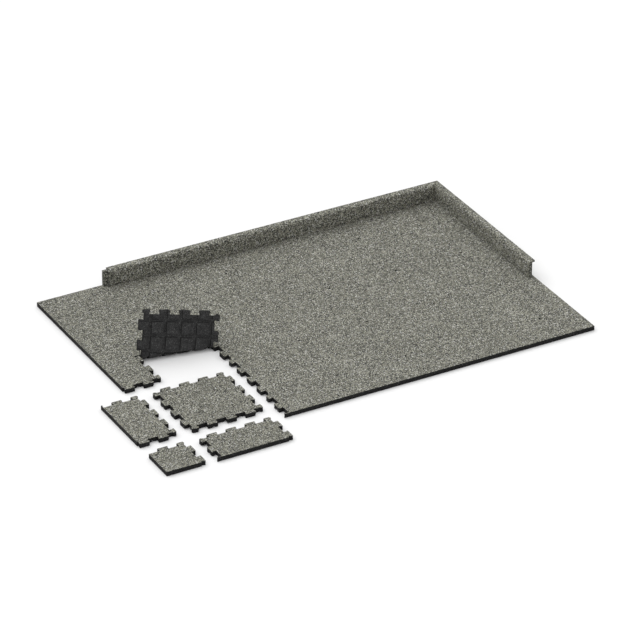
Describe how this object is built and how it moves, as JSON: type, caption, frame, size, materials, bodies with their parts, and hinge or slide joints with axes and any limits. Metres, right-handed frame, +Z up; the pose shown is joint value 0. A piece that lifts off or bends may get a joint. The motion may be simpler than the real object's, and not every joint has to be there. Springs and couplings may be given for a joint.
{
  "type": "interlocking rubber floor",
  "caption": "Puzzle-tile rubber floor with dovetail edges, cut edge tiles and wall skirting; one corner is taken apart and one tile is folded up.",
  "frame": {"origin": "on the ground, under the middle of the whole layout", "axes": "+X to the right along the long side, +Y to the back wall, +Z up from the ground"},
  "size_m": [3.228, 2.27, 0.3288],
  "materials": {
    "tile_rubber": "speckled granulate, matte",
    "skirting_rubber": "speckled granulate, matte"
  },
  "bodies": {
    "floor_field": {"back_edge_tile_c1": "tile_rubber", "back_edge_tile_c2": "tile_rubber", "back_edge_tile_c3": "tile_rubber", "back_edge_tile_c4": "tile_rubber", "back_edge_tile_c5": "tile_rubber", "corner_tile_back_left": "tile_rubber", "corner_tile_back_right": "tile_rubber", "corner_tile_front_right": "tile_rubber", "folded_tile_bend": "tile_rubber", "folded_tile_seated_half": "tile_rubber", "front_edge_tile_c2": "tile_rubber", "front_edge_tile_c3": "tile_rubber", "front_edge_tile_c4": "tile_rubber", "front_edge_tile_c5": "tile_rubber", "left_edge_tile_r2": "tile_rubber", "left_edge_tile_r3": "tile_rubber", "right_edge_tile_r1": "tile_rubber", "right_edge_tile_r2": "tile_rubber", "right_edge_tile_r3": "tile_rubber", "skirting_back_corner": "skirting_rubber", "tile_c1_r3": "tile_rubber", "tile_c2_r1": "tile_rubber", "tile_c2_r2": "tile_rubber", "tile_c2_r3": "tile_rubber", "tile_c3_r1": "tile_rubber", "tile_c3_r2": "tile_rubber", "tile_c3_r3": "tile_rubber", "tile_c4_r1": "tile_rubber", "tile_c4_r2": "tile_rubber", "tile_c4_r3": "tile_rubber", "tile_c5_r1": "tile_rubber", "tile_c5_r2": "tile_rubber", "tile_c5_r3": "tile_rubber"},
    "loose_full_tile": {"loose_full_tile": "tile_rubber"},
    "loose_left_edge_tile": {"loose_left_edge_tile": "tile_rubber"},
    "loose_front_edge_tile": {"loose_front_edge_tile": "tile_rubber"},
    "loose_corner_tile": {"loose_corner_tile": "tile_rubber"},
    "raised_half": {"folded_tile_raised_half": "tile_rubber"},
    "back_left_board": {"skirting_back_left": "skirting_rubber"},
    "right_board": {"skirting_right": "skirting_rubber"}
  },
  "joints": [
    {"name": "full_tile_lift", "type": "slide", "parent": "floor_field", "child": "loose_full_tile", "axis": [0, 0, 1], "range_m": [0, 0.2]},
    {"name": "left_edge_tile_lift", "type": "slide", "parent": "floor_field", "child": "loose_left_edge_tile", "axis": [0, 0, 1], "range_m": [0, 0.2]},
    {"name": "front_edge_tile_lift", "type": "slide", "parent": "floor_field", "child": "loose_front_edge_tile", "axis": [0, 0, 1], "range_m": [0, 0.2]},
    {"name": "corner_tile_lift", "type": "slide", "parent": "floor_field", "child": "loose_corner_tile", "axis": [0, 0, 1], "range_m": [0, 0.2]},
    {"name": "tile_fold", "type": "hinge", "parent": "floor_field", "child": "raised_half", "pos_m": [-0.89818, 0.13653, 0.026], "axis": [-0.9836, 0.1805, 0], "range_deg": [-107.7, 0], "deforming": ["folded_tile_bend"]},
    {"name": "back_left_board_lift", "type": "slide", "parent": "floor_field", "child": "back_left_board", "axis": [0, 0, 1], "range_m": [0, 0.16]},
    {"name": "right_board_lift", "type": "slide", "parent": "floor_field", "child": "right_board", "axis": [0, 0, 1], "range_m": [0, 0.16]}
  ]
}
